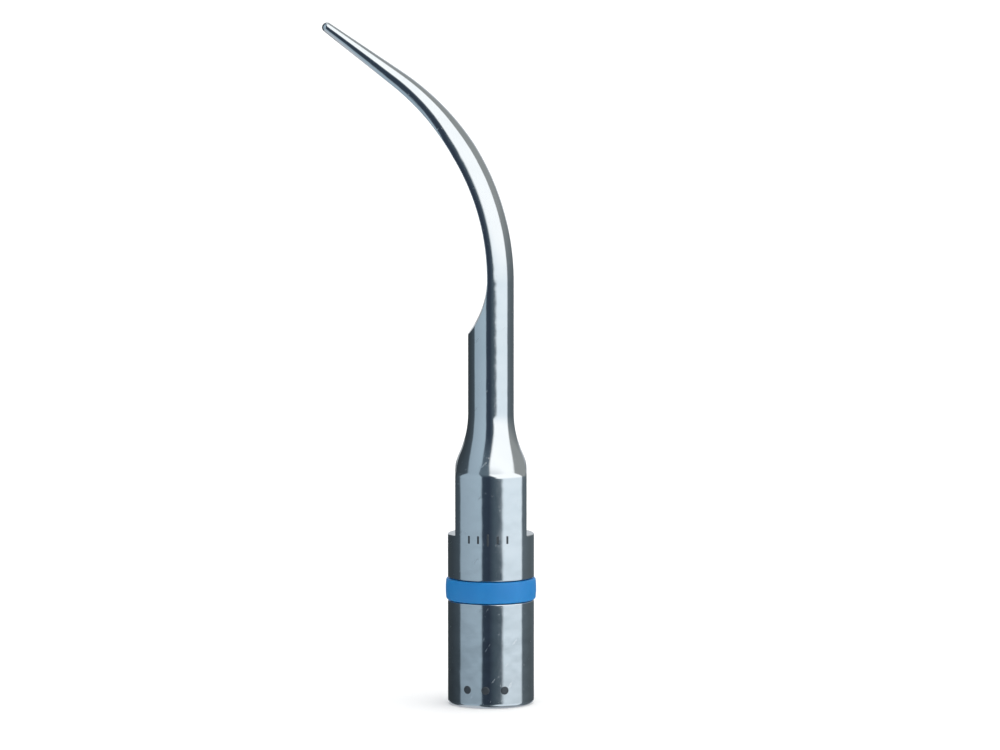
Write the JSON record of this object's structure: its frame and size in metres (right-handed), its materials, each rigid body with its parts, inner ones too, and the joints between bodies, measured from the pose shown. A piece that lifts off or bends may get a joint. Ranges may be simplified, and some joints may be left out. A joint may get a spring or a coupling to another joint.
{
  "type": "ultrasonic scaler tip",
  "caption": "Screw-on ultrasonic scaler tip: turned steel base with wrench flats and threaded socket, slim stem, ground and bent working end, and a blue ring in a groove.",
  "frame": {"origin": "centre of the seat, the flat end of the base that meets the handpiece, on the axis of the threaded socket", "axes": "+Z along the base's axis from the seat to the working end; the working end bends towards -X; Y is across the bend"},
  "size_m": [0.0099, 0.0042, 0.0316],
  "materials": {
    "steel": "mirror polished",
    "ring": "satin silicone"
  },
  "bodies": {
    "tip": {"tip_body": "steel"},
    "ring": {"colour_ring": "ring"}
  },
  "joints": [
    {"name": "ring_turn", "type": "hinge", "parent": "tip", "child": "ring", "pos_m": [0, 0, 0.00538], "axis": [0, 0, 1], "continuous": true}
  ]
}
